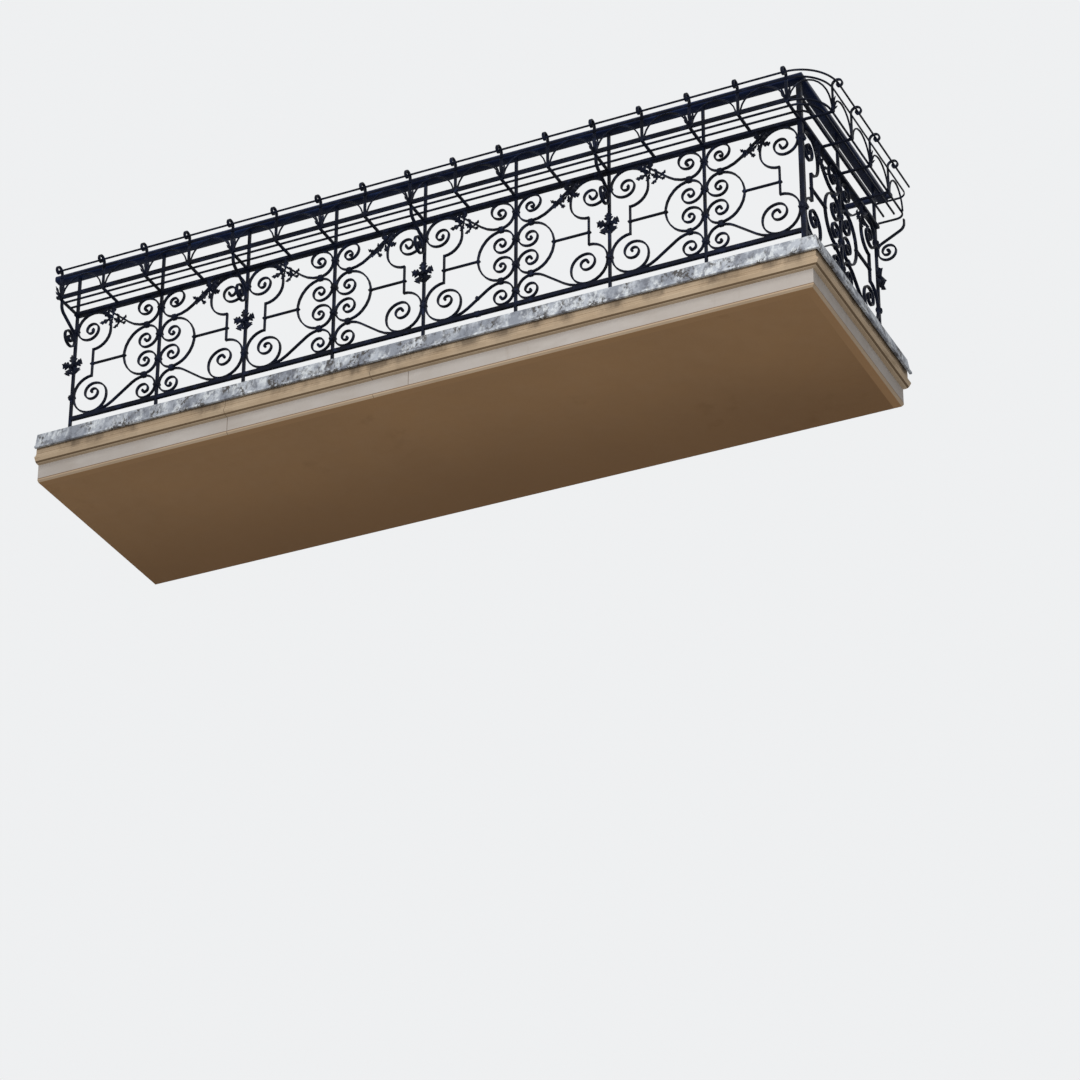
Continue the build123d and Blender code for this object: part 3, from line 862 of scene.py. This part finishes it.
def patches_group():
    """Soft irregular patches: 0 to 1 where noise passes a level."""
    tree, inner, mask = new_group("irregular patches", "Size", "Stretch", "Level", "Softness")
    coordinates = tree.nodes.new("ShaderNodeTexCoord")
    stretched = tree.nodes.new("ShaderNodeVectorMath")
    stretched.operation = "MULTIPLY"
    feed(tree, stretched.inputs[0], coordinates.outputs["Object"])
    feed(tree, stretched.inputs[1], inner["Stretch"])
    noise = tree.nodes.new("ShaderNodeTexNoise")
    feed(tree, noise.inputs["Vector"], stretched.outputs[0])
    feed(tree, noise.inputs["Scale"], inner["Size"])
    feed(tree, noise.inputs["Detail"], 8)
    feed(tree, noise.inputs["Roughness"], 0.62)
    past = reckoned(tree, "SUBTRACT", noise.outputs[0], inner["Level"])
    centred = reckoned(tree, "ADD", reckoned(tree, "DIVIDE", past, inner["Softness"]), 0.5)
    centred.node.use_clamp = True
    feed(tree, mask, centred)
    return tree


def joints_group():
    """Thin upright lines where two lengths of moulding meet: 1 on a joint, 0 elsewhere."""
    tree, inner, mask = new_group("moulding joints", "First", "Second", "Half Width")
    x = along_axis(tree, "X")
    lines = [
        reckoned(tree, "COMPARE", x, inner[label], inner["Half Width"])
        for label in ("First", "Second")
    ]
    feed(tree, mask, reckoned(tree, "MAXIMUM", *lines))
    return tree


def band_group():
    """A level band, such as a painted shadow line or an underside: 1 within Half Width of
    Height.
    """
    tree, inner, mask = new_group("level band", "Height", "Half Width")
    z = along_axis(tree, "Z")
    feed(tree, mask, reckoned(tree, "COMPARE", z, inner["Height"], inner["Half Width"]))
    return tree


def drips_and_shadow_group():
    """Blotches that run down from Head and fade out over Reach: drip marks, and a painted shadow
    under an overhang.
    """
    tree, inner, mask = new_group("drip stains", "Head", "Reach")
    drop = reckoned(tree, "SUBTRACT", inner["Head"], along_axis(tree, "Z"))
    fade = ranged(tree, drop, "SMOOTHSTEP", from_max=inner["Reach"], to_min=0.7, to_max=0)
    blotches = masked(tree, PATCHES, 8, (1, 1, 0.3), 0.54, 0.16)
    feed(tree, mask, reckoned(tree, "MULTIPLY", fade, blotches))
    return tree


def rearward_group():
    """Painted shade of a wall: rises from 0 at Depth, in front, to Strength at the slab's back
    edge.
    """
    tree, inner, mask = new_group("towards the back", "Depth", "Strength")
    y = along_axis(tree, "Y")
    rise = ranged(
        tree, y, "SMOOTHSTEP", from_min=inner["Depth"], from_max=0, to_max=inner["Strength"]
    )
    feed(tree, mask, rise)
    return tree


PATCHES = patches_group()
DRIPS_AND_SHADOW = drips_and_shadow_group()
BAND = band_group()
REARWARD = rearward_group()
JOINTS = joints_group()
JOINT_HALF_WIDTH = 0.0014
WITHIN_SOFTNESS = 0.1
GRAIN_LEVEL = 0.5
GRAIN_SOFTNESS = 0.6
BUMP_STRENGTH = 0.7


def finish(
    name,
    base,
    layers,
    roughness,
    bumps,
    metallic=0.0,
    shine=0.5,
    joint=None,
    painted_wall_shade=None,
    bands=(),
    stains_and_shadow=None,
):
    """A base colour with coloured patches, lines (some of them painted shadow), painted shade
    towards the back and drip marks that also paint an overhang's shadow over it, and fine bumps.

    A layer is (colour, strength, size, stretch, level, softness), and may end with the size
    and level of wider patches that it keeps within. A bump is (size, stretch, height).
    """
    material = bpy.data.materials.new(name)
    material.use_nodes = True
    tree = material.node_tree
    shader = tree.nodes["Principled BSDF"]
    shader.inputs["Metallic"].default_value = metallic
    shader.inputs["Specular IOR Level"].default_value = shine
    surface = base
    for tone, strength, size, stretch, level, softness, *within in layers:
        patches = masked(tree, PATCHES, size, stretch, level, softness)
        amount = reckoned(tree, "MULTIPLY", patches, strength)
        if within:
            wider = masked(tree, PATCHES, within[0], stretch, within[1], WITHIN_SOFTNESS)
            amount = reckoned(tree, "MULTIPLY", amount, wider)
        surface = overlaid(tree, surface, amount, tone)
    if joint:
        tone, *places = joint
        surface = overlaid(tree, surface, masked(tree, JOINTS, *places, JOINT_HALF_WIDTH), tone)
    # painted shade, darker towards the back
    if painted_wall_shade:
        tone, *extent = painted_wall_shade
        surface = overlaid(tree, surface, masked(tree, REARWARD, *extent), tone)
    for tone, *extent in bands:
        surface = overlaid(tree, surface, masked(tree, BAND, *extent), tone)
    # drip marks that also paint the shadow under an overhang
    if stains_and_shadow:
        tone, *extent = stains_and_shadow
        surface = overlaid(tree, surface, masked(tree, DRIPS_AND_SHADOW, *extent), tone)
    feed(tree, shader.inputs["Base Color"], surface)
    gloss = ranged(tree, patches, to_min=roughness[0], to_max=roughness[1])
    feed(tree, shader.inputs["Roughness"], gloss)
    normal = None
    for size, stretch, height in bumps:
        bump = tree.nodes.new("ShaderNodeBump")
        bump.inputs["Distance"].default_value = height
        bump.inputs["Strength"].default_value = BUMP_STRENGTH
        grain = masked(tree, PATCHES, size, stretch, GRAIN_LEVEL, GRAIN_SOFTNESS)
        feed(tree, bump.inputs["Height"], grain)
        if normal:
            feed(tree, bump.inputs["Normal"], normal)
        normal = bump.outputs["Normal"]
    feed(tree, shader.inputs["Normal"], normal)
    return material


def colour(*rgb):
    """A colour from its 0 to 255 values."""
    linear = (((c / 255 + 0.055) / 1.055) ** 2.4 if c > 10 else c / 255 / 12.92 for c in rgb)
    return (*linear, 1)


# Finishes
EVEN = (1, 1, 1)
RUNS = (1, 1, 0.18)
LENGTHWISE = (0.12, 0.12, 1)
SOFFIT = colour(142, 109, 75)
JOINT = colour(84, 70, 56)
SKIN = 0.0006  # of an underside, in its level band
MOULDING_JOINTS = (-1.116, -0.243)
FASCIA_JOINTS = (-1.116, -0.036)
cornice_foot, cornice_head = (v.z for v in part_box("cornice"))
fascia_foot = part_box("fascia")[0].z
bead_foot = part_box("bead")[0].z
slab_foot, deck = (v.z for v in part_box("slab"))
finishes = {
    "iron": finish(
        "painted_iron",
        colour(15, 19, 32),
        [
            (colour(9, 10, 15), 0.8, 6, EVEN, 0.52, 0.2),
            (colour(33, 41, 64), 0.55, 26, EVEN, 0.6, 0.14),
            (colour(50, 35, 29), 0.4, 70, EVEN, 0.68, 0.08),
        ],
        (0.42, 0.62),
        [(240, EVEN, 0.0005), (40, EVEN, 0.001)],
        shine=0.06,
    ),
    "handrail": finish(
        "navy_handrail_paint",
        colour(15, 25, 52),
        [
            (colour(7, 11, 24), 0.7, 3, EVEN, 0.52, 0.25),
            # lighter navy streaks along the rail: paint variation and painted highlight
            (colour(34, 50, 84), 0.5, 18, (0.3, 0.3, 1), 0.6, 0.14),
        ],
        (0.34, 0.5),
        [(160, EVEN, 0.0004), (14, EVEN, 0.0015)],
        shine=0.08,
    ),
    "zinc": finish(
        "weathered_zinc",
        colour(124, 128, 136),
        [
            (colour(166, 170, 176), 0.85, 9, (1, 1, 0.7), 0.48, 0.1),
            (colour(82, 84, 92), 0.7, 22, (0.8, 0.8, 0.5), 0.55, 0.1),
            (colour(200, 203, 204), 0.75, 46, (0.9, 0.9, 0.5), 0.53, 0.1, 10, 0.5),
            (colour(50, 44, 38), 0.9, 60, (1, 1, 0.6), 0.5, 0.06, 12, 0.54),
        ],
        (0.5, 0.75),
        [(90, EVEN, 0.0006), (5, EVEN, 0.003)],
        metallic=0.1,
        shine=0.4,
    ),
    "ochre": finish(
        "ochre_stone",
        colour(164, 144, 120),
        [
            (colour(146, 124, 98), 0.5, 3, RUNS, 0.52, 0.3),
            (colour(176, 158, 134), 0.45, 20, LENGTHWISE, 0.54, 0.2),
            (colour(104, 86, 66), 0.5, 30, (0.1, 0.1, 1), 0.64, 0.1),
        ],
        (0.8, 0.95),
        [(180, EVEN, 0.0006), (46, (0.06, 0.06, 1), 0.0014)],
        shine=0.2,
        joint=(JOINT, *MOULDING_JOINTS),
        # the lowest band is the painted shadow under the ovolo, the highest the painted shadow
        # under the capping's lip; the two between are fine darker lines
        bands=[
            (colour(98, 80, 60), cornice_foot + 0.0045, 0.003),
            (colour(128, 108, 86), cornice_foot + 0.030, 0.001),
            (colour(122, 102, 80), cornice_foot + 0.056, 0.0013),
            (colour(96, 78, 58), cornice_foot + 0.082, 0.002),
        ],
        # drip marks under the capping, darkest at the top, that also paint the capping's shadow
        stains_and_shadow=(colour(78, 66, 54), cornice_head - 0.095, 0.085),
    ),
    "bead": finish(
        "soffit_bead",
        colour(158, 138, 116),
        [
            (colour(144, 124, 100), 0.5, 3, RUNS, 0.52, 0.3),
            (colour(170, 152, 130), 0.4, 20, LENGTHWISE, 0.54, 0.2),
        ],
        (0.8, 0.95),
        [(180, EVEN, 0.0006)],
        shine=0.2,
        joint=(JOINT, *MOULDING_JOINTS),
        bands=[(SOFFIT, bead_foot, SKIN)],
    ),
    "fascia": finish(
        "pale_fascia",
        colour(160, 153, 147),
        [
            (colour(146, 136, 126), 0.5, 2.5, RUNS, 0.52, 0.3),
            (colour(172, 166, 160), 0.4, 12, (0.3, 0.3, 1), 0.56, 0.2),
            (colour(120, 108, 96), 0.35, 8, RUNS, 0.67, 0.12),
        ],
        (0.8, 0.95),
        [(200, EVEN, 0.0005), (20, EVEN, 0.001)],
        shine=0.2,
        joint=(JOINT, *FASCIA_JOINTS),
        bands=[
            (colour(112, 92, 74), fascia_foot + 0.0025, 0.0025),
            (SOFFIT, fascia_foot, SKIN),
        ],
    ),
    "soffit": finish(
        "rendered_soffit",
        SOFFIT,
        [
            (colour(126, 97, 68), 0.5, 0.9, EVEN, 0.5, 0.3),
            (colour(142, 112, 82), 0.3, 7, EVEN, 0.56, 0.25),
            (colour(104, 78, 52), 0.25, 3.2, EVEN, 0.68, 0.12),
        ],
        (0.85, 0.97),
        [(150, EVEN, 0.0008), (12, EVEN, 0.0016)],
        shine=0.15,
        # painted shade of the wall: darker towards the slab's back edge
        painted_wall_shade=(colour(96, 68, 42), -1.1, 0.55),
        # all but the underside has the deck's plain screed
        bands=[(colour(142, 137, 128), (slab_foot + deck) / 2 + SKIN, (deck - slab_foot) / 2)],
    ),
}

for piece, kind in pieces:
    piece.data.materials.clear()
    piece.data.materials.append(finishes[kind])
    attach(piece, "root")

dress = {
    "capping": "zinc",
    "cornice": "ochre",
    "bead": "bead",
    "fascia": "fascia",
    "slab": "soffit",
    "handrail": "handrail",
}
for name, node in nodes.items():
    kind = dress.get(name, "iron")
    for spot in node.material_slots:
        spot.material = finishes[kind]

# Floor
FLOOR_SIZE = 90
FLOOR_DOWN = -12.6

bpy.ops.object.select_all(action="DESELECT")
bpy.ops.mesh.primitive_plane_add(size=FLOOR_SIZE, location=(0, 0, FLOOR_DOWN))
floor = bpy.context.object
floor.name = "studio_floor"
pale = bpy.data.materials.new("pale_floor")
pale.use_nodes = True
shader = pale.node_tree.nodes["Principled BSDF"]
shader.inputs["Base Color"].default_value = colour(226, 226, 224)
shader.inputs["Roughness"].default_value = 0.9
floor.data.materials.append(pale)

# Light: a soft sky, with a pale background to the camera and in reflections
SKY = (0.93, 0.96, 1, 1)
SKY_STRENGTH = 0.5
BACKGROUND = (0.86, 0.87, 0.88, 1)

world = bpy.data.worlds.new("studio")
bpy.context.scene.world = world
world.use_nodes = True
tree = world.node_tree
sky = tree.nodes["Background"]
sky.inputs["Color"].default_value = SKY
sky.inputs["Strength"].default_value = SKY_STRENGTH
seen = tree.nodes.new("ShaderNodeBackground")
seen.inputs["Color"].default_value = BACKGROUND
seen.inputs["Strength"].default_value = 1
path = tree.nodes.new("ShaderNodeLightPath")
pale_for = path.outputs["Is Camera Ray"]
for ray in ("Is Glossy Ray", "Is Transmission Ray"):
    pale_for = reckoned(tree, "MAXIMUM", pale_for, path.outputs[ray])
mixed = tree.nodes.new("ShaderNodeMixShader")
for socket, output in zip(mixed.inputs, (pale_for, sky.outputs[0], seen.outputs[0])):
    feed(tree, socket, output)
feed(tree, tree.nodes["World Output"].inputs["Surface"], mixed.outputs[0])


def lamp(name, place, aim, size, power):
    """A round soft lamp at its place, turned to its aim."""
    data = bpy.data.lights.new(name, "AREA")
    data.shape = "DISK"
    data.size = size
    data.energy = power
    lit = bpy.data.objects.new(name, data)
    bpy.context.scene.collection.objects.link(lit)
    lit.location = place
    lit.rotation_euler = (Vector(aim) - Vector(place)).to_track_quat("-Z", "Y").to_euler()


lamp("high_lamp", (4, -10, 7), (0, -0.6, 0.4), size=6, power=480)
lamp("low_lamp", (5, -13, -2.5), (0.6, -0.6, 0), size=7, power=1250)

# Camera
CAMERA_PLACE = (8.0135, -16.6454, -10.9428)
CAMERA_TURN = (119.7025, -0.063, 25.324)  # degrees
CAMERA_LENS = 130.74

data = bpy.data.cameras.new("camera")
data.sensor_width = 36
data.lens = CAMERA_LENS
data.clip_end = 200
camera = bpy.data.objects.new("camera", data)
bpy.context.scene.collection.objects.link(camera)
camera.location = CAMERA_PLACE
camera.rotation_euler = [radians(degrees) for degrees in CAMERA_TURN]
bpy.context.scene.camera = camera
bpy.context.scene.view_settings.view_transform = "Standard"
